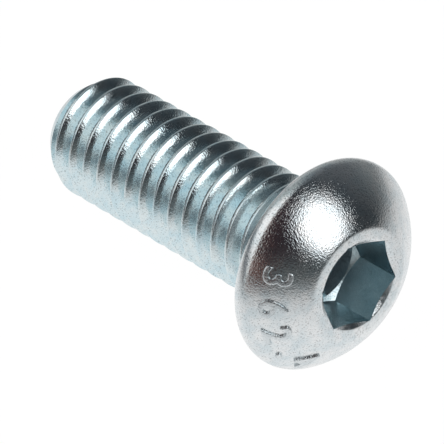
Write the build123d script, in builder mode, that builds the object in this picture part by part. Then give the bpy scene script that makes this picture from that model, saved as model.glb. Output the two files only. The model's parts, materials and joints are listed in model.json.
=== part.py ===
from build123d import *
import os
from math import acos, atan2, ceil, cos, degrees, hypot, radians, sin, tan

# Button head screw with a hexagon socket, cold forged and thread-rolled in one piece.
# Millimetres. It is modelled upright: the head's bearing face is z = 0, the head stands above it and
# the shank hangs below it. The last block lays it down as it rests on a table, with +Z up.

# --- Driving dimensions ---------------------------------------------------------------------------

# Shank and thread: ISO metric coarse, M6 x 1, right-hand, over its whole length
crest_diameter = 5.94  # measured over the crests, inside the 6g tolerance
pitch = 1.0
length = 16.0  # bearing face to tip
neck_diameter = 5.3  # the rolled blank, left bare under the head
neck_length = 1.5  # bearing face to the last full-depth groove
neck_flare = 0.35  # short cone by which the neck meets the bearing face
tip_diameter = 4.5
tip_chamfer_length = 1.0

# Head
head_diameter = 10.3
head_height = 3.0
rim_round = 0.6  # rounding of the head's lower edge, up to its widest circle, where the dome begins
land_diameter = 5.5  # flat ring at the top of the dome, round the socket

# Hexagon socket
socket_width = 4.0  # across flats, for a 4 mm key
socket_wall_depth = 2.35  # land to the lower end of the hexagon's corners
socket_floor_depth = 2.55
socket_floor_angle = 120.0  # included angle of the cone that joins the walls to the flat floor
socket_corner_radius = 0.15
socket_mouth_diameter = 4.5  # countersink where the key enters
socket_mouth_angle = 120.0  # included angle of that countersink

# Clocking about the screw's axis, in degrees
socket_clocking = 23.0  # one corner of the hexagon, from the end of the full thread
rest_clocking = 348.0  # the end of the full thread, from the top when the screw lies at rest

# --- Thread form, from the pitch -------------------------------------------------------------------

half_flank_angle = 30.0
groove_depth = 0.6134 * pitch
crest_width = pitch / 8
clearance = 0.05 * pitch  # how far a cutting profile stands outside the crests
runout_length = pitch  # one turn, over which the last groove rises out of the shank

# --- Derived places --------------------------------------------------------------------------------

crest_radius = crest_diameter / 2
neck_radius = neck_diameter / 2
head_radius = head_diameter / 2
land_radius = land_diameter / 2
blank_end = length + 2 * pitch  # the blank is longer than the screw until the tip is trimmed


def dome_mid_point():
    """Point halfway along the dome, a ball's surface through the widest circle and the land's edge."""
    rise = head_height - rim_round
    centre_drop = (head_radius**2 - land_radius**2 - rise**2) / (2 * rise)
    dome_radius = hypot(head_radius, centre_drop)
    rim_angle = atan2(centre_drop, head_radius)
    land_angle = atan2(centre_drop + rise, land_radius)
    mid_angle = (rim_angle + land_angle) / 2
    mid_height = rim_round - centre_drop + dome_radius * sin(mid_angle)
    return (dome_radius * cos(mid_angle), mid_height)


def groove_section(path):
    """Face of the groove between two crests, square to the start of a helix that runs on the crests."""
    flank_run = tan(radians(half_flank_angle))
    top_half_width = (pitch - crest_width) / 2 + clearance * flank_run
    root_half_width = top_half_width - (groove_depth + clearance) * flank_run
    start = path @ 0
    outward = Vector(start.X, start.Y, 0)
    with BuildSketch(Plane(origin=start, x_dir=outward, z_dir=path % 0)) as section:
        with BuildLine():
            Polyline(
                (clearance, -top_half_width),
                (-groove_depth, -root_half_width),
                (-groove_depth, root_half_width),
                (clearance, top_half_width),
                close=True,
            )
        make_face()
    return section.sketch


# --- The thread's groove ---------------------------------------------------------------------------

# One turn of it, cut again at every pitch. It starts below the end of the blank, and the whole number
# of turns brings its end to the X axis.
groove_turns = ceil((length - neck_length) / pitch) + 1
groove_start = -neck_length - groove_turns * pitch

with BuildLine() as turn_path:
    Helix(pitch=pitch, height=pitch, radius=crest_radius, center=(0, 0, groove_start))

with BuildPart() as groove_turn:
    sweep(groove_section(turn_path.line), path=turn_path.line, is_frenet=True)

# The same helix carried on, opening outwards until the groove has left the metal
runout_angle = degrees(atan2(groove_depth + clearance, runout_length))
with BuildLine() as runout_path:
    Helix(
        pitch=pitch,
        height=runout_length,
        radius=crest_radius,
        center=(0, 0, -neck_length),
        cone_angle=runout_angle,
    )

# --- The punch that forges the socket --------------------------------------------------------------

# A hexagonal bar turned to a blunt cone at its end, standing in the place of the socket
corner_reach = socket_width / 2 / cos(radians(30))
corner_reach -= socket_corner_radius * (1 / cos(radians(30)) - 1)
floor_slope = tan(radians(socket_floor_angle / 2))
floor_radius = corner_reach - (socket_floor_depth - socket_wall_depth) * floor_slope
cone_reach = corner_reach + socket_corner_radius

with BuildPart() as socket_punch:
    with BuildSketch(Plane.XY.offset(head_height)):
        RegularPolygon(radius=socket_width / 2, side_count=6, major_radius=False, rotation=socket_clocking)
        fillet(vertices(), radius=socket_corner_radius)
    extrude(amount=-socket_floor_depth)
    with BuildSketch(Plane.XZ):
        with BuildLine():
            Polyline(
                (0, head_height - socket_floor_depth),
                (floor_radius, head_height - socket_floor_depth),
                (cone_reach, head_height - socket_wall_depth + socket_corner_radius / floor_slope),
                (cone_reach, head_height),
                (0, head_height),
                close=True,
            )
        make_face()
    revolve(axis=Axis.Z, mode=Mode.INTERSECT)

# --- The screw, upright ----------------------------------------------------------------------------

with BuildPart() as upright_screw:
    # Shank blank: a bare neck, which opens by short cones to the bearing face and to the crests
    neck_cone = crest_radius - neck_radius
    with BuildSketch(Plane.XZ):
        with BuildLine():
            Polyline(
                (0, 0),
                (neck_radius + neck_flare, 0),
                (neck_radius, -neck_flare),
                (neck_radius, -neck_length + neck_cone),
                (crest_radius, -neck_length),
                (crest_radius, -blank_end),
                (0, -blank_end),
                close=True,
            )
        make_face()
    revolve(axis=Axis.Z)

    # Thread: the groove, turn by turn, and its run-out under the head
    with Locations(*[(0, 0, turn * pitch) for turn in range(groove_turns)]):
        add(groove_turn.part, mode=Mode.SUBTRACT)
    sweep(groove_section(runout_path.line), path=runout_path.line, is_frenet=True, mode=Mode.SUBTRACT)

    # Tip: cut to length and turned to its chamfer
    chamfer_slope = (crest_radius - tip_diameter / 2) / tip_chamfer_length
    trim_reach = pitch / 2
    trim_radius = crest_radius + trim_reach * chamfer_slope
    with BuildSketch(Plane.XZ):
        with BuildLine():
            Polyline(
                (0, -length),
                (tip_diameter / 2, -length),
                (trim_radius, -length + tip_chamfer_length + trim_reach),
                (trim_radius, -blank_end - pitch),
                (0, -blank_end - pitch),
                close=True,
            )
        make_face()
    revolve(axis=Axis.Z, mode=Mode.SUBTRACT)

    # Head: bearing face, rounded rim, domed crown and the flat land
    with BuildSketch(Plane.XZ):
        with BuildLine():
            Line((0, 0), (head_radius - rim_round, 0))
            CenterArc((head_radius - rim_round, rim_round), rim_round, start_angle=-90, arc_size=90)
            ThreePointArc((head_radius, rim_round), dome_mid_point(), (land_radius, head_height))
            Polyline((land_radius, head_height), (0, head_height), (0, 0))
        make_face()
    revolve(axis=Axis.Z)

    # Socket, and its countersunk mouth
    add(socket_punch.part, mode=Mode.SUBTRACT)
    mouth_apex_depth = socket_mouth_diameter / 2 / tan(radians(socket_mouth_angle / 2))
    with BuildSketch(Plane.XZ):
        with BuildLine():
            Polyline(
                (0, head_height),
                (socket_mouth_diameter / 2, head_height),
                (0, head_height - mouth_apex_depth),
                close=True,
            )
        make_face()
    revolve(axis=Axis.Z, mode=Mode.SUBTRACT)

# --- At rest ---------------------------------------------------------------------------------------

# The head's rim and the last crest both touch the table, so the axis slopes down to the tip
rim_reach = head_radius - rim_round - crest_radius
axial_reach = length - tip_chamfer_length + rim_round
tilt = acos(-rim_round / hypot(rim_reach, axial_reach)) - atan2(axial_reach, rim_reach)
bearing_height = (length - tip_chamfer_length) * sin(tilt) + crest_radius * cos(tilt)
head_reach = head_height * cos(tilt) + land_radius * sin(tilt)
tip_reach = length * cos(tilt) + tip_diameter / 2 * sin(tilt)
rest_plane = Plane(
    origin=((head_reach - tip_reach) / 2, 0, bearing_height),
    x_dir=(sin(tilt), 0, cos(tilt)),
    z_dir=(-cos(tilt), 0, sin(tilt)),
)

with BuildPart(rest_plane) as button_head_screw:
    add(upright_screw.part, rotation=(0, 0, rest_clocking))

button_head_screw.part.label = "button_head_screw"

os.makedirs("parts", exist_ok=True)
export_step(button_head_screw.part, "parts/button_head_screw.step")
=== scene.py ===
"""Button head screw, M6 x 1 by 16 mm: its visible surface, finish, studio and camera."""

import json
import logging
import math
from dataclasses import dataclass, field
from enum import Enum

import bmesh
import bpy
from mathutils import Matrix, Vector

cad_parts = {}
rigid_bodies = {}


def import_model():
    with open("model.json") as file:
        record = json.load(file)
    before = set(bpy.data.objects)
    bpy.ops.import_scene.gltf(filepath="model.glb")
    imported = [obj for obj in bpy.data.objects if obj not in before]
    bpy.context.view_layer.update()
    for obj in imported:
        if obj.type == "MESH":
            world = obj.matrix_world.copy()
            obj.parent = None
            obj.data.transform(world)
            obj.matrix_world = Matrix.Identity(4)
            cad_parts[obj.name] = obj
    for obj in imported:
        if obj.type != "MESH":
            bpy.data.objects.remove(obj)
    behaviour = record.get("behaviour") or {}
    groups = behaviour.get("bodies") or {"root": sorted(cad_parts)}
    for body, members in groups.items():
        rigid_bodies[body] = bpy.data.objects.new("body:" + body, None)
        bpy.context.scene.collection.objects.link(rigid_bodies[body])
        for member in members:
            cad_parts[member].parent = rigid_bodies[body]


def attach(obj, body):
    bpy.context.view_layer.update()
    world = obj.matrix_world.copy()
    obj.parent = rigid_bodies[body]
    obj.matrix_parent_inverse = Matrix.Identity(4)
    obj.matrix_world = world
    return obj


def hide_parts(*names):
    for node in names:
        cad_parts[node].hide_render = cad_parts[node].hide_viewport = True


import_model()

logging.basicConfig(level=logging.INFO, format="%(message)s")
log = logging.getLogger("button_head_screw")

MM = 0.001
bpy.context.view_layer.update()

Point = tuple[float, float]  # radius and height, in mm, of a turned or wound profile


# --- Small helpers --------------------------------------------------------------------------------


def linear(hex_colour: str) -> tuple[float, float, float, float]:
    """Turn an sRGB hex colour into a linear one.

    Args:
        hex_colour: Colour as "#rrggbb".

    Returns:
        Red, green, blue and alpha, linear.
    """
    parts = [int(hex_colour[i : i + 2], 16) / 255 for i in (1, 3, 5)]
    lin = [c / 12.92 if c <= 0.04045 else ((c + 0.055) / 1.055) ** 2.4 for c in parts]
    return (lin[0], lin[1], lin[2], 1.0)


def add_node(tree: bpy.types.NodeTree, kind: str, settings: dict | None = None, **links) -> bpy.types.Node:
    """Add a node with its settings and links.

    Args:
        tree: Node tree to add to.
        kind: Blender's name of the node type.
        settings: Attributes to set, or, with a key that starts with "in:", socket values.
        links: Input name (spaces as "_") or "i" and a number, to an output socket.

    Returns:
        The new node.
    """
    node = tree.nodes.new(kind)
    for key, value in (settings or {}).items():
        if key.startswith("in:"):
            name = key[3:]
            node.inputs[int(name) if name.isdigit() else name].default_value = value
        else:
            setattr(node, key, value)
    for name, socket in links.items():
        by_number = name[0] == "i" and name[1:].isdigit()
        key = int(name[1:]) if by_number else name.replace("_", " ")
        tree.links.new(socket, node.inputs[key])
    return node


def deselect_all() -> None:
    """Deselect every object."""
    bpy.ops.object.select_all(action="DESELECT")


def make_active(obj: bpy.types.Object) -> None:
    """Select one object alone and make it the active one.

    Args:
        obj: Object to work on next.
    """
    deselect_all()
    obj.select_set(True)
    bpy.context.view_layer.objects.active = obj


def apply_modifiers(obj: bpy.types.Object) -> None:
    """Apply all of an object's modifiers, in order.

    Args:
        obj: Object whose modifiers are applied.
    """
    make_active(obj)
    for name in [modifier.name for modifier in obj.modifiers]:
        bpy.ops.object.modifier_apply(modifier=name)


class Operation(Enum):
    """What a boolean does with its tool."""

    CUT = "DIFFERENCE"
    JOIN = "UNION"
    KEEP_COMMON = "INTERSECT"


def boolean(obj: bpy.types.Object, tool: bpy.types.Object, operation: Operation) -> None:
    """Cut, join or intersect a piece with a tool, and delete the tool.

    Args:
        obj: Piece that is kept.
        tool: Closed tool body.
        operation: What is done with the tool.
    """
    modifier = obj.modifiers.new(operation.name.lower(), "BOOLEAN")
    modifier.operation = operation.value
    modifier.object = tool
    modifier.solver = "EXACT"
    modifier.material_mode = "TRANSFER"
    apply_modifiers(obj)
    bpy.data.objects.remove(tool, do_unlink=True)


def lathe(name: str, profile: list[Point], segments: int) -> bpy.types.Object:
    """Turn a closed body, ring by ring, from a circle that is extruded and resized.

    Args:
        name: Name of the new object.
        profile: Radius and height of each ring in mm, upwards, the first and last with a cap.
        segments: Sides round the body.

    Returns:
        The new object, with its axis on Z.
    """
    radius, height = profile[0]
    bpy.ops.mesh.primitive_circle_add(
        vertices=segments, radius=radius, fill_type="TRIFAN", location=(0, 0, height)
    )
    obj = bpy.context.object
    obj.name = name
    bpy.ops.object.transform_apply(location=True, rotation=True, scale=True)
    bpy.ops.object.mode_set(mode="EDIT")
    bpy.ops.mesh.select_all(action="DESELECT")
    mesh = bmesh.from_edit_mesh(obj.data)
    for edge in mesh.edges:
        edge.select = edge.is_boundary
    bmesh.update_edit_mesh(obj.data)
    for next_radius, next_height in profile[1:]:
        bpy.ops.mesh.extrude_edges_move(TRANSFORM_OT_translate={"value": (0, 0, next_height - height)})
        scale = next_radius / radius
        bpy.ops.transform.resize(value=(scale, scale, 1), center_override=(0, 0, next_height))
        radius, height = next_radius, next_height
    bpy.ops.mesh.extrude_edges_move()
    bpy.ops.mesh.merge(type="CENTER")
    bpy.ops.mesh.select_all(action="SELECT")
    bpy.ops.mesh.normals_make_consistent(inside=False)
    bpy.ops.object.mode_set(mode="OBJECT")
    return obj


def arc(centre: Point, radius: float, start: float, end: float, steps: int) -> list[Point]:
    """Points of an arc in a turned profile.

    Args:
        centre: Radius and height of the arc's centre, in mm.
        radius: Radius in mm.
        start: First angle in degrees, from outwards towards upwards.
        end: Last angle in degrees.
        steps: Number of straight runs.

    Returns:
        Radius and height of each point.
    """
    points = []
    for step in range(steps + 1):
        angle = math.radians(start + (end - start) * step / steps)
        points.append((centre[0] + radius * math.cos(angle), centre[1] + radius * math.sin(angle)))
    return points


def soft_corner(before: Point, corner: Point, after: Point, reach: float, steps: int) -> list[Point]:
    """Round a corner of a turned profile.

    Args:
        before: Point before the corner.
        corner: The sharp corner.
        after: Point after it.
        reach: Distance from the corner at which the rounding starts and ends, in mm.
        steps: Number of straight runs.

    Returns:
        Radius and height of each point of the rounding.
    """
    start = Vector(corner) + (Vector(before) - Vector(corner)).normalized() * reach
    end = Vector(corner) + (Vector(after) - Vector(corner)).normalized() * reach
    points = []
    for step in range(steps + 1):
        t = step / steps
        point = start * (1 - t) ** 2 + Vector(corner) * 2 * t * (1 - t) + end * t**2
        points.append((point.x, point.y))
    return points


# --- Sizes ----------------------------------------------------------------------------------------


@dataclass(frozen=True)
class ScrewSizes:
    """Sizes of the screw in mm, upright, with the bearing face at zero and the shank below it."""

    crest_radius: float = 2.97
    pitch: float = 1.0
    groove_depth: float = 0.6134
    length: float = 16.0
    neck_radius: float = 2.65
    neck_length: float = 1.5
    neck_round: float = 0.35
    tip_radius: float = 2.25
    tip_chamfer: float = 1.0
    head_radius: float = 5.15
    head_height: float = 3.0
    rim_round: float = 0.6
    land_radius: float = 2.75
    socket_width: float = 4.0
    socket_wall_depth: float = 2.35
    socket_floor_depth: float = 2.55
    socket_corner: float = 0.15
    # Angle between the axis and the cones of the socket's floor and of its countersunk mouth, in degrees
    socket_cone_angle: float = 60.0
    mouth_radius: float = 2.25
    land_edge_round: float = 0.11
    mouth_edge_round: float = 0.05
    # In degrees about the axis: a corner of the hexagon from the end of the thread, and that end from the top
    socket_clocking: float = 23.0
    rest_clocking: float = 348.0

    @property
    def dome_centre(self) -> float:
        """Height of the middle of the dome's ball, which meets the rim's rounding without an edge.

        The ball passes through the land's edge and touches the rim's rounding, which lies inside it. That
        leaves a quadratic equation for the height, and the lower of its two answers is the dome.
        """
        rim_centre = self.head_radius - self.rim_round
        land_edge = self.land_radius**2 + self.head_height**2
        reach = land_edge - rim_centre**2
        rise = 2 * (self.head_height - self.rim_round)
        rim_width = 2 * self.rim_round
        squared = rise**2 - rim_width**2
        linear_part = 2 * rim_width**2 * self.head_height - 2 * reach * rise
        constant = reach**2 - rim_width**2 * land_edge
        return (-linear_part - math.sqrt(linear_part**2 - 4 * squared * constant)) / (2 * squared)

    @property
    def hexagon_radius(self) -> float:
        """Radius to the hexagon's corners while they are still sharp."""
        return self.socket_width / 2 / math.cos(math.pi / 6)

    @property
    def dome_radius(self) -> float:
        """Radius of the dome's ball."""
        return math.hypot(self.land_radius, self.head_height - self.dome_centre)

    @property
    def tilt(self) -> float:
        """Slope of the axis at rest, in radians, with the head's rim and the last crest on the table."""
        rim_reach = self.head_radius - self.rim_round - self.crest_radius
        axial_reach = self.length - self.tip_chamfer + self.rim_round
        to_table = math.acos(-self.rim_round / math.hypot(rim_reach, axial_reach))
        return to_table - math.atan2(axial_reach, rim_reach)

    @property
    def bearing_height(self) -> float:
        """Height of the middle of the bearing face above the table."""
        last_crest = self.length - self.tip_chamfer
        return last_crest * math.sin(self.tilt) + self.crest_radius * math.cos(self.tilt)

    @property
    def rest_matrix(self) -> Matrix:
        """Place of the upright screw, in mm, when it lies at rest, in metres."""
        sine, cosine = math.sin(self.tilt), math.cos(self.tilt)
        head_reach = self.head_height * cosine + self.land_radius * sine
        tip_reach = self.length * cosine + self.tip_radius * sine
        origin = Vector(((head_reach - tip_reach) / 2, 0, self.bearing_height))
        turn = Matrix(((sine, 0, -cosine), (0, 1, 0), (cosine, 0, sine))).to_4x4()
        clock = Matrix.Rotation(math.radians(self.rest_clocking), 4, "Z")
        return Matrix.Scale(MM, 4) @ Matrix.Translation(origin) @ turn @ clock


# --- Finishes -------------------------------------------------------------------------------------


@dataclass(frozen=True)
class ZincPlatedSteel:
    """Bright zinc plating, blue passivated.

    The real finish is a thin bright metal skin over cold-forged or rolled steel. It gives the eye a cool grey
    mirror, slightly cyan, that is broken up by the fine grain of the steel under it.
    """

    name: str
    base: str
    cool: str
    roughness: float
    grain_mm: float
    grain_depth_mm: float
    pit_share: float
    # Size of the passivation's clouds, and the noise values between which its colour turns
    film_mm: float = 0.8
    film_turn: tuple[float, float] = (0.36, 0.62)
    # Grain values between which a pit darkens the metal
    pit_turn: tuple[float, float] = (0.28, 0.45)

    def build(self) -> bpy.types.Material:
        """Make the material.

        Returns:
            The new material.
        """
        material = bpy.data.materials.new(self.name)
        material.use_nodes = True
        tree = material.node_tree
        tree.nodes.clear()
        place = add_node(tree, "ShaderNodeTexCoord")
        grain = add_node(
            tree,
            "ShaderNodeTexNoise",
            {"in:Scale": 1 / (self.grain_mm * MM), "in:Detail": 2.0, "in:Roughness": 0.6},
            Vector=place.outputs["Object"],
        )
        film = add_node(
            tree,
            "ShaderNodeTexNoise",
            {"in:Scale": 1 / (self.film_mm * MM), "in:Detail": 3.0, "in:Roughness": 0.6},
            Vector=place.outputs["Object"],
        )
        tint = add_node(tree, "ShaderNodeValToRGB", None, Fac=film.outputs["Fac"])
        ramp = tint.color_ramp
        ramp.elements[0].position = self.film_turn[0]
        ramp.elements[0].color = linear(self.cool)
        ramp.elements[1].position = self.film_turn[1]
        ramp.elements[1].color = linear(self.base)
        pits = add_node(
            tree,
            "ShaderNodeMapRange",
            {
                "in:From Min": self.pit_turn[0],
                "in:From Max": self.pit_turn[1],
                "in:To Min": 1 - self.pit_share,
                "in:To Max": 1.0,
            },
            Value=grain.outputs["Fac"],
        )
        colour = add_node(
            tree,
            "ShaderNodeVectorMath",
            {"operation": "SCALE"},
            i0=tint.outputs["Color"],
            Scale=pits.outputs["Result"],
        )
        bump = add_node(
            tree,
            "ShaderNodeBump",
            {"in:Strength": 1.0, "in:Distance": self.grain_depth_mm * MM},
            Height=grain.outputs["Fac"],
        )
        surface = add_node(
            tree,
            "ShaderNodeBsdfPrincipled",
            {"in:Metallic": 1.0, "in:Roughness": self.roughness},
            Base_Color=colour.outputs["Vector"],
            Normal=bump.outputs["Normal"],
        )
        add_node(tree, "ShaderNodeOutputMaterial", None, Surface=surface.outputs["BSDF"])
        return material


# Forged head: frosted by the die, with a speckled grain. Drawn at the size the eye sees, not finer.
FORGED_ZINC = ZincPlatedSteel("zinc_plated_forged_head", "#e9eced", "#d6e0e4", 0.11, 0.078, 0.0135, 0.5)
# Rolled thread: burnished by the rolls, smoother and a little bluer from the passivation.
ROLLED_ZINC = ZincPlatedSteel("zinc_plated_rolled_thread", "#dfeaec", "#cde2e9", 0.12, 0.085, 0.01, 0.38)
# Socket: painted shade, a darker and bluer colour than the head's, for the deep hexagon's walls and floor;
# rougher too, duller where the punch has dragged along the walls.
SOCKET_ZINC_PAINTED_SHADE = ZincPlatedSteel("zinc_plated_socket_painted_shade", "#c8d6da", "#b6c9cf", 0.22, 0.085, 0.008, 0.3)
# Struck figures: the die leaves them with a coarse, half matt face, so that they show against the dome.
STRUCK_ZINC = ZincPlatedSteel("zinc_plated_struck_figures", "#e2e7e9", "#d0d9dd", 0.27, 0.085, 0.02, 0.5)


# --- The screw ------------------------------------------------------------------------------------


@dataclass
class Shank:
    """Threaded shank: a rolled right-hand thread that fades into the bare neck under the head."""

    sizes: ScrewSizes
    finish: ZincPlatedSteel = ROLLED_ZINC
    steps: int = 120
    root_steps: int = 5
    flank_angle: float = 30.0
    # Shares of the pitch
    root_radius: float = 0.144
    crest_width: float = 0.125
    crest_softening: float = 0.02
    # Where the thread has faded out under the head, in pitches above the end of the full thread
    fade_pitches: float = 0.75
    # Spare metal outside the crests, and the place under the head where the shank ends, both in mm
    envelope_clearance: float = 0.03
    envelope_top: float = 0.5

    def thread_profile(self) -> list[Point]:
        """One pitch of the thread, as radius and height, from the middle of one root to the next.

        Returns:
            Points upwards, the last one pitch above the first.
        """
        sizes = self.sizes
        root_radius = self.root_radius * sizes.pitch
        softening = self.crest_softening * sizes.pitch
        centre = sizes.crest_radius - sizes.groove_depth + root_radius
        half = arc((centre, 0), root_radius, 180, 90 + self.flank_angle, self.root_steps)
        start_radius, start_height = half[-1]
        top = sizes.pitch / 2 - self.crest_width * sizes.pitch / 2
        slope = (top - start_height) / (sizes.crest_radius - start_radius)
        for radius in ((start_radius + sizes.crest_radius) / 2, sizes.crest_radius - softening):
            half.append((radius, start_height + (radius - start_radius) * slope))
        half.append((sizes.crest_radius - 0.2 * softening, top + 0.35 * softening))
        half.append((sizes.crest_radius, top + 1.3 * softening))
        other = [(r, sizes.pitch - h) for r, h in reversed(half)]
        return half + other

    def helicoid(self) -> bpy.types.Object:
        """Wind the thread's profile into a closed body, longer than the shank.

        Returns:
            The wound thread, upright, in mm.
        """
        sizes = self.sizes
        turns = math.ceil(sizes.length / sizes.pitch) + 2
        # The groove's middle crosses the local X axis at whole pitches below the end of the full thread
        start = -sizes.neck_length - (turns - 1) * sizes.pitch
        profile = self.thread_profile()
        bpy.ops.mesh.primitive_circle_add(vertices=3, radius=1.0, fill_type="NOTHING")
        obj = bpy.context.object
        obj.name = "wound_thread"
        bpy.ops.object.mode_set(mode="EDIT")
        bpy.ops.mesh.select_all(action="SELECT")
        bpy.ops.mesh.merge(type="CENTER")
        bpy.ops.transform.translate(value=(profile[0][0], 0, start + profile[0][1]))
        for before, after in zip(profile, profile[1:]):
            step = (after[0] - before[0], 0, after[1] - before[1])
            bpy.ops.mesh.extrude_vertices_move(TRANSFORM_OT_translate={"value": step})
        bpy.ops.object.mode_set(mode="OBJECT")
        winding = obj.modifiers.new("winding", "SCREW")
        winding.axis = "Z"
        winding.angle = math.tau
        winding.screw_offset = sizes.pitch
        winding.iterations = turns
        winding.steps = self.steps
        winding.render_steps = self.steps
        winding.use_smooth_shade = False
        apply_modifiers(obj)
        bpy.ops.object.mode_set(mode="EDIT")
        bpy.ops.mesh.select_all(action="SELECT")
        bpy.ops.mesh.remove_doubles(threshold=1e-4)
        bpy.ops.object.mode_set(mode="OBJECT")
        self.fade_to_neck(obj)
        bpy.ops.object.mode_set(mode="EDIT")
        for upper in (False, True):
            self.close_end(obj, upper)
        bpy.ops.mesh.select_all(action="SELECT")
        bpy.ops.mesh.normals_make_consistent(inside=False)
        bpy.ops.object.mode_set(mode="OBJECT")
        return obj

    def fade_to_neck(self, obj: bpy.types.Object) -> None:
        """Draw the last turn's crests in and its roots out, until they meet the bare neck.

        Args:
            obj: The wound thread.
        """
        sizes = self.sizes
        for vertex in obj.data.vertices:
            x, y, h = vertex.co
            radius = math.hypot(x, y)
            along = (-h - sizes.neck_length) / sizes.pitch + self.fade_pitches
            share = min(max(along, 0.0), 1.0)
            share = share * share * (3 - 2 * share)
            wanted = sizes.neck_radius + (radius - sizes.neck_radius) * share
            vertex.co.x = x * wanted / radius
            vertex.co.y = y * wanted / radius

    @staticmethod
    def close_end(obj: bpy.types.Object, upper: bool) -> None:
        """Close one open end of the wound thread to a point on its axis.

        Args:
            obj: The wound thread, in edit mode.
            upper: Whether to close the upper end.
        """
        mesh = bmesh.from_edit_mesh(obj.data)
        heights = [v.co.z for v in mesh.verts]
        middle = (min(heights) + max(heights)) / 2
        bpy.ops.mesh.select_all(action="DESELECT")
        ends = []
        for edge in mesh.edges:
            if edge.is_boundary and (edge.verts[0].co.z > middle) == upper:
                edge.select = True
                ends += [v.co.z for v in edge.verts]
        bmesh.update_edit_mesh(obj.data)
        bpy.ops.mesh.extrude_edges_move()
        bpy.ops.mesh.merge(type="CENTER")
        mesh = bmesh.from_edit_mesh(obj.data)
        height = (min(ends) + max(ends)) / 2
        for vertex in mesh.verts:
            if vertex.select:
                vertex.co = (0, 0, height)
        bmesh.update_edit_mesh(obj.data)

    def build(self) -> bpy.types.Object:
        """Wind the thread and turn its two ends.

        Returns:
            The shank, upright, in mm.
        """
        sizes = self.sizes
        shank = self.helicoid()
        shank.data.materials.append(self.finish.build())
        outside = sizes.crest_radius + self.envelope_clearance
        slope = (sizes.crest_radius - sizes.tip_radius) / sizes.tip_chamfer
        rise = (outside - sizes.tip_radius) / slope
        outline = [
            (sizes.tip_radius, -sizes.length),
            (outside, -sizes.length + rise),
            (outside, -self.envelope_top),
        ]
        envelope = lathe("shank_envelope", outline, self.steps)
        boolean(shank, envelope, Operation.KEEP_COMMON)
        return shank


@dataclass
class Head:
    """Button head: rounded rim, dome, land and the hexagon socket with its countersunk mouth."""

    sizes: ScrewSizes
    finish: ZincPlatedSteel = FORGED_ZINC
    # Darker finish of the socket: painted shade for the recess
    socket_painted_shade_finish: ZincPlatedSteel = SOCKET_ZINC_PAINTED_SHADE
    segments: int = 240
    # Length of bare neck that the head brings along and that is sunk in the shank, in mm
    neck_stub: float = 0.7
    neck_steps: int = 8
    rim_steps: int = 20
    dome_steps: int = 32
    land_edge_steps: int = 6
    mouth_edge_steps: int = 3
    corner_steps: int = 5
    # How far the cone's tool reaches past the hexagon's corners, in mm
    cone_reach: float = 0.6
    # Radius left at the countersink's apex, inside the socket, in mm
    apex_radius: float = 0.02

    def profile(self) -> list[Point]:
        """Turned outline of the head and the neck that joins it to the shank.

        Returns:
            Radius and height of each ring, upwards.
        """
        sizes = self.sizes
        neck_centre = (sizes.neck_radius + sizes.neck_round, -sizes.neck_round)
        points = [(sizes.neck_radius, -self.neck_stub)]
        points += arc(neck_centre, sizes.neck_round, 180, 90, self.neck_steps)
        rim_centre = sizes.head_radius - sizes.rim_round
        low = math.degrees(math.atan2(sizes.rim_round - sizes.dome_centre, rim_centre))
        high = math.degrees(math.atan2(sizes.head_height - sizes.dome_centre, sizes.land_radius))
        points += arc((rim_centre, sizes.rim_round), sizes.rim_round, -90, low, self.rim_steps)
        points += arc((0, sizes.dome_centre), sizes.dome_radius, low, high, self.dome_steps)[1:]
        land_edge = points.pop()
        mouth_edge = (sizes.mouth_radius, sizes.head_height)
        cone_slope = math.tan(math.radians(sizes.socket_cone_angle))
        apex = (self.apex_radius, sizes.head_height - sizes.mouth_radius / cone_slope)
        dome_before = points[-3]
        while math.dist(points[-1], land_edge) < sizes.land_edge_round:
            points.pop()
        points += soft_corner(dome_before, land_edge, mouth_edge, sizes.land_edge_round, self.land_edge_steps)
        points += soft_corner(land_edge, mouth_edge, apex, sizes.mouth_edge_round, self.mouth_edge_steps)
        points.append(apex)
        return points

    def punch(self) -> bpy.types.Object:
        """Hexagonal punch with rounded corners and a blunt cone at its end.

        Returns:
            The punch, standing in the socket's place.
        """
        sizes = self.sizes
        top = sizes.head_height + 1
        bottom = sizes.head_height - sizes.socket_floor_depth
        bpy.ops.mesh.primitive_cylinder_add(
            vertices=6,
            radius=sizes.hexagon_radius,
            depth=top - bottom,
            location=(0, 0, (top + bottom) / 2),
        )
        punch = bpy.context.object
        punch.name = "socket_punch"
        # The cylinder's first corner is made on +Y
        punch.rotation_euler.z = math.radians(sizes.socket_clocking - 90)
        bpy.ops.object.transform_apply(location=True, rotation=True, scale=True)
        bpy.ops.object.mode_set(mode="EDIT")
        bpy.ops.mesh.select_all(action="DESELECT")
        mesh = bmesh.from_edit_mesh(punch.data)
        for edge in mesh.edges:
            edge.select = abs(edge.verts[0].co.z - edge.verts[1].co.z) > 1
        bmesh.update_edit_mesh(punch.data)
        bpy.ops.mesh.bevel(
            offset=sizes.socket_corner / math.sqrt(3),
            offset_type="OFFSET",
            segments=self.corner_steps,
            affect="EDGES",
        )
        bpy.ops.object.mode_set(mode="OBJECT")
        corner = sizes.hexagon_radius - sizes.socket_corner * (1 / math.cos(math.pi / 6) - 1)
        slope = math.tan(math.radians(sizes.socket_cone_angle))
        floor_radius = corner - (sizes.socket_floor_depth - sizes.socket_wall_depth) * slope
        outside = corner + self.cone_reach
        wall_end = sizes.head_height - sizes.socket_wall_depth
        outline = [(floor_radius, bottom), (outside, wall_end + self.cone_reach / slope), (outside, top + 1)]
        cone = lathe("punch_cone", outline, self.segments)
        boolean(punch, cone, Operation.KEEP_COMMON)
        # The socket's walls and floor take the darker finish, painted shade for the deep recess
        punch.data.materials.clear()
        punch.data.materials.append(self.socket_painted_shade_finish.build())
        return punch

    def build(self) -> bpy.types.Object:
        """Turn the head and punch its socket.

        Returns:
            The head, upright, in mm.
        """
        sizes = self.sizes
        head = lathe("head", self.profile(), self.segments)
        head.data.materials.append(self.finish.build())
        boolean(head, self.punch(), Operation.CUT)
        RaisedFigures(sizes).add_to(head)
        return head


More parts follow.
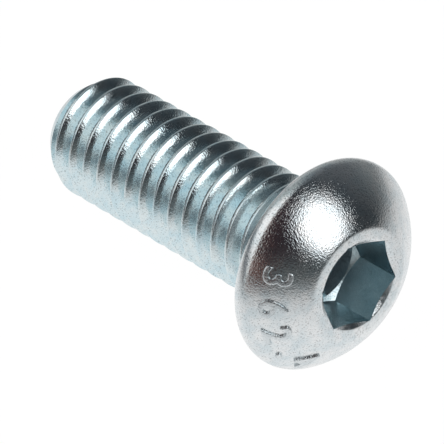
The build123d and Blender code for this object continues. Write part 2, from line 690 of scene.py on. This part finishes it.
@dataclass
class RaisedFigures:
    """Plain figures that stand up a little from the dome, with their tops towards the socket."""

    sizes: ScrewSizes
    finish: ZincPlatedSteel = STRUCK_ZINC
    text: str = "362.4"
    azimuths: tuple[float, ...] = (74.5, 95.4, 116.0, 135.0, 152.0)
    figure_height: float = 1.3
    stroke: float = 0.045
    baseline_radius: float = 4.66
    stand: float = 0.11
    sink: float = 0.12
    voxel: float = 0.03
    smoothing: int = 4
    # Height of a figure as a share of the font's size
    figure_share: float = 0.7
    # Height on the figure, as a share of its own, at which its width is true
    true_width_share: float = 0.4

    def figure(self, character: str, azimuth: float) -> bpy.types.Object:
        """Make one figure and lay it on the dome.

        Args:
            character: The figure.
            azimuth: Its middle round the screw's axis, in degrees.

        Returns:
            The figure as a closed body.
        """
        bpy.ops.object.text_add(location=(0, 0, 0))
        text = bpy.context.object
        text.data.body = character
        text.data.align_x = "CENTER"
        text.data.size = self.figure_height / self.figure_share
        text.data.offset = self.stroke
        text.data.extrude = (self.stand + self.sink) / 2
        text.data.resolution_u = 4
        make_active(text)
        bpy.ops.object.convert(target="MESH")
        figure = bpy.context.object
        remesh = figure.modifiers.new("soften", "REMESH")
        remesh.mode = "VOXEL"
        remesh.voxel_size = self.voxel
        smooth = figure.modifiers.new("smooth", "SMOOTH")
        smooth.factor = 0.5
        smooth.iterations = self.smoothing
        apply_modifiers(figure)
        self.wrap(figure, azimuth)
        return figure

    def wrap(self, figure: bpy.types.Object, azimuth: float) -> None:
        """Bend a flat figure onto the dome.

        Args:
            figure: The figure, flat on the ground with its foot on the X axis.
            azimuth: Its middle round the screw's axis, in degrees.
        """
        sizes = self.sizes
        base = math.acos(self.baseline_radius / sizes.dome_radius)
        turn = math.radians(azimuth)
        middle_radius = self.baseline_radius - self.true_width_share * self.figure_height
        for vertex in figure.data.vertices:
            across, up, out = vertex.co
            around = turn + across / middle_radius
            rise = base + up / sizes.dome_radius
            reach = sizes.dome_radius + out + (self.stand - self.sink) / 2
            vertex.co = (
                reach * math.cos(rise) * math.cos(around),
                reach * math.cos(rise) * math.sin(around),
                sizes.dome_centre + reach * math.sin(rise),
            )

    def add_to(self, head: bpy.types.Object) -> None:
        """Join every figure to the head.

        Args:
            head: The head, upright, in mm.
        """
        material = self.finish.build()
        for character, azimuth in zip(self.text, self.azimuths):
            figure = self.figure(character, azimuth)
            figure.data.materials.clear()
            figure.data.materials.append(material)
            boolean(head, figure, Operation.JOIN)


@dataclass
class ButtonHeadScrew:
    """The whole screw, one piece of steel, in the place of its CAD solid."""

    sizes: ScrewSizes = field(default_factory=ScrewSizes)

    def build(self) -> bpy.types.Object:
        """Join the shank and the head, lay the screw down and dress it.

        Returns:
            The finished piece.
        """
        screw = Shank(self.sizes).build()
        boolean(screw, Head(self.sizes).build(), Operation.JOIN)
        screw.name = "screw_body"
        screw.data.name = "screw_body"
        screw.data.transform(self.sizes.rest_matrix)
        make_active(screw)
        bpy.ops.object.shade_smooth_by_angle(angle=math.radians(30))
        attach(screw, "root")
        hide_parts("button_head_screw")
        log.info("screw_body: %d faces", len(screw.data.polygons))
        log.info("finishes: %s", ", ".join(material.name for material in screw.data.materials))
        return screw


# --- Studio ---------------------------------------------------------------------------------------


def direction(azimuth: float, elevation: float) -> Vector:
    """Unit vector away from the screw.

    Args:
        azimuth: Direction round the screw, in degrees from +X.
        elevation: Angle above the table, in degrees.

    Returns:
        The vector.
    """
    turn, rise = math.radians(azimuth), math.radians(elevation)
    return Vector((math.cos(rise) * math.cos(turn), math.cos(rise) * math.sin(turn), math.sin(rise)))


@dataclass(frozen=True)
class Softbox:
    """Oval soft light that faces the screw. Lengths are in metres, angles in degrees."""

    name: str = "key_softbox"
    azimuth: float = 191.0
    elevation: float = 41.0
    distance: float = 0.5
    width: float = 0.36
    height: float = 0.41
    # Brightness of its face, where 1 shows as white
    radiance: float = 1.9

    def build(self) -> bpy.types.Object:
        """Hang the light.

        Returns:
            The lamp.
        """
        light = bpy.data.lights.new(self.name, "AREA")
        light.shape = "ELLIPSE"
        light.size, light.size_y = self.width, self.height
        light.energy = self.radiance * math.pi * self.width * self.height * math.pi / 4
        lamp = bpy.data.objects.new(self.name, light)
        bpy.context.scene.collection.objects.link(lamp)
        away = direction(self.azimuth, self.elevation)
        lamp.location = away * self.distance
        lamp.rotation_euler = (-away).to_track_quat("-Z", "Y").to_euler()
        return lamp


@dataclass
class Studio:
    """White table and soft light round it."""

    key: Softbox = field(default_factory=Softbox)
    table_size: float = 2.0
    floor_colour: str = "#f4f4f2"
    shadow_share: float = 0.04
    # With the share above it, the lit table comes to plain white
    white_strength: float = 1.03
    # Distance from the screw in metres, and how bright the table is there when metal mirrors it
    table_falloff: tuple[tuple[float, float], ...] = (
        (0.0, 0.96),
        (0.012, 0.9),
        (0.02, 0.76),
        (0.035, 0.6),
        (0.07, 0.35),
        (0.15, 0.2),
    )
    # Azimuth in degrees from +X and colour of the room there, a little above the table's far edge: dim, but
    # for a white card at 94 to 104, a brown door beside it and a grey wall behind the screw
    low_walls: tuple[tuple[float, str], ...] = (
        (0, "#b4b8b8"),
        (18, "#707478"),
        (84, "#707478"),
        (94, "#e4e8e8"),
        (104, "#d0ccc8"),
        (112, "#6c443c"),
        (122, "#543c38"),
        (135, "#646868"),
        (240, "#303438"),
        (335, "#bcc0c0"),
        (360, "#b4b8b8"),
    )
    # And the same higher up: a white wall at 25 to 96, the door, and a dark room behind the camera
    high_walls: tuple[tuple[float, str], ...] = (
        (0, "#a8b0b0"),
        (12, "#d0d4d4"),
        (25, "#ffffff"),
        (96, "#ffffff"),
        (105, "#d8d4d0"),
        (113, "#583834"),
        (123, "#34282c"),
        (215, "#2c3034"),
        (310, "#707478"),
        (360, "#a8b0b0"),
    )
    # Sine of the elevation where the low colours start to turn into the high ones, and where that ends
    low_level: float = 0.12
    high_level: float = 0.55

    def build_floor(self) -> bpy.types.Object:
        """Lay the table's top, which shows as plain white with a faint shadow.

        Returns:
            The floor.
        """
        bpy.ops.mesh.primitive_plane_add(size=self.table_size, location=(0, 0, 0))
        floor = bpy.context.object
        floor.name = "table_top"
        material = bpy.data.materials.new("white_table")
        material.use_nodes = True
        tree = material.node_tree
        tree.nodes.clear()
        path = add_node(tree, "ShaderNodeLightPath")
        place = add_node(tree, "ShaderNodeTexCoord")
        away = add_node(tree, "ShaderNodeVectorMath", {"operation": "LENGTH"}, i0=place.outputs["Object"])
        reach = self.table_falloff[-1][0]
        part = add_node(
            tree, "ShaderNodeMath", {"operation": "DIVIDE", "in:1": reach}, i0=away.outputs["Value"]
        )
        stops = [(radius / reach, (level, level, level, 1)) for radius, level in self.table_falloff]
        falloff = self.ramp(tree, part.outputs["Value"], stops)
        matt = add_node(tree, "ShaderNodeBsdfDiffuse", {"in:Color": linear(self.floor_colour)})
        white = add_node(tree, "ShaderNodeEmission", {"in:Strength": self.white_strength})
        dimming = add_node(tree, "ShaderNodeEmission", {"in:Strength": 1.0}, Color=falloff.outputs["Color"])
        shown = add_node(
            tree,
            "ShaderNodeMixShader",
            {"in:0": self.shadow_share},
            i1=white.outputs["Emission"],
            i2=matt.outputs["BSDF"],
        )
        to_camera = add_node(
            tree,
            "ShaderNodeMixShader",
            None,
            i0=path.outputs["Is Camera Ray"],
            i1=matt.outputs["BSDF"],
            i2=shown.outputs["Shader"],
        )
        to_metal = add_node(
            tree,
            "ShaderNodeMixShader",
            None,
            i0=path.outputs["Is Glossy Ray"],
            i1=to_camera.outputs["Shader"],
            i2=dimming.outputs["Emission"],
        )
        add_node(tree, "ShaderNodeOutputMaterial", None, Surface=to_metal.outputs["Shader"])
        floor.data.materials.append(material)
        return floor

    @staticmethod
    def ramp(tree: bpy.types.NodeTree, value: bpy.types.NodeSocket, stops: list) -> bpy.types.Node:
        """Add a colour ramp.

        Args:
            tree: Node tree to add to.
            value: Socket that drives it.
            stops: Position and linear colour of each stop, in order.

        Returns:
            The ramp's node.
        """
        node = add_node(tree, "ShaderNodeValToRGB", None, Fac=value)
        elements = node.color_ramp.elements
        elements[0].position, elements[0].color = stops[0]
        elements[1].position, elements[1].color = stops[-1]
        for position, colour in stops[1:-1]:
            elements.new(position).color = colour
        return node

    def build_world(self) -> None:
        """Make the room: a white wall on one side, a dim room behind the camera, dark at table height."""
        world = bpy.data.worlds.new("studio_room")
        bpy.context.scene.world = world
        world.use_nodes = True
        tree = world.node_tree
        tree.nodes.clear()
        place = add_node(tree, "ShaderNodeTexCoord")
        parts = add_node(tree, "ShaderNodeSeparateXYZ", None, Vector=place.outputs["Generated"])
        angle = add_node(
            tree, "ShaderNodeMath", {"operation": "ARCTAN2"}, i0=parts.outputs["Y"], i1=parts.outputs["X"]
        )
        turns = add_node(
            tree, "ShaderNodeMath", {"operation": "DIVIDE", "in:1": math.tau}, i0=angle.outputs["Value"]
        )
        whole = add_node(tree, "ShaderNodeMath", {"operation": "FRACT"}, i0=turns.outputs["Value"])
        low, high = (
            self.ramp(tree, whole.outputs["Value"], [(turn / 360, linear(colour)) for turn, colour in walls])
            for walls in (self.low_walls, self.high_walls)
        )
        level = add_node(
            tree,
            "ShaderNodeMapRange",
            {
                "interpolation_type": "SMOOTHSTEP",
                "in:From Min": self.low_level,
                "in:From Max": self.high_level,
            },
            Value=parts.outputs["Z"],
        )
        room = add_node(
            tree,
            "ShaderNodeMix",
            {"data_type": "RGBA"},
            i0=level.outputs["Result"],
            i6=low.outputs["Color"],
            i7=high.outputs["Color"],
        )
        path = add_node(tree, "ShaderNodeLightPath")
        seen = add_node(
            tree,
            "ShaderNodeMix",
            {"data_type": "RGBA", "in:7": (1, 1, 1, 1)},
            i0=path.outputs["Is Camera Ray"],
            i6=room.outputs[2],
        )
        back = add_node(tree, "ShaderNodeBackground", {"in:Strength": 1.0}, Color=seen.outputs[2])
        add_node(tree, "ShaderNodeOutputWorld", None, Surface=back.outputs["Background"])

    def build(self) -> None:
        """Set up the table, the room and the light."""
        self.build_floor()
        self.build_world()
        self.key.build()
        log.info("studio: table, room and softbox")


@dataclass(frozen=True)
class ViewPoint:
    """Camera on a long lens, level with the horizon, looking down on the screw from beside its head."""

    aim: tuple[float, float, float] = (-0.00078162, 0.00056302, 0.00391106)
    azimuth: float = 138.0866
    elevation: float = 41.3304
    distance: float = 0.2341165
    lens: float = 412.312
    sensor_width: float = 36.0
    clip: tuple[float, float] = (0.001, 10.0)

    def build(self) -> bpy.types.Object:
        """Place the camera and make it the scene's own.

        Returns:
            The camera.
        """
        data = bpy.data.cameras.new("camera")
        camera = bpy.data.objects.new("camera", data)
        bpy.context.scene.collection.objects.link(camera)
        data.lens = self.lens
        data.sensor_width = self.sensor_width
        data.clip_start, data.clip_end = self.clip
        away = direction(self.azimuth, self.elevation)
        camera.location = Vector(self.aim) + away * self.distance
        camera.rotation_euler = (-away).to_track_quat("-Z", "Y").to_euler()
        bpy.context.scene.camera = camera
        return camera


def main() -> None:
    """Build the screw, the studio and the camera."""
    bpy.context.scene.view_settings.view_transform = "Standard"
    ButtonHeadScrew().build()
    Studio().build()
    ViewPoint().build()


if __name__ == "__main__":
    main()
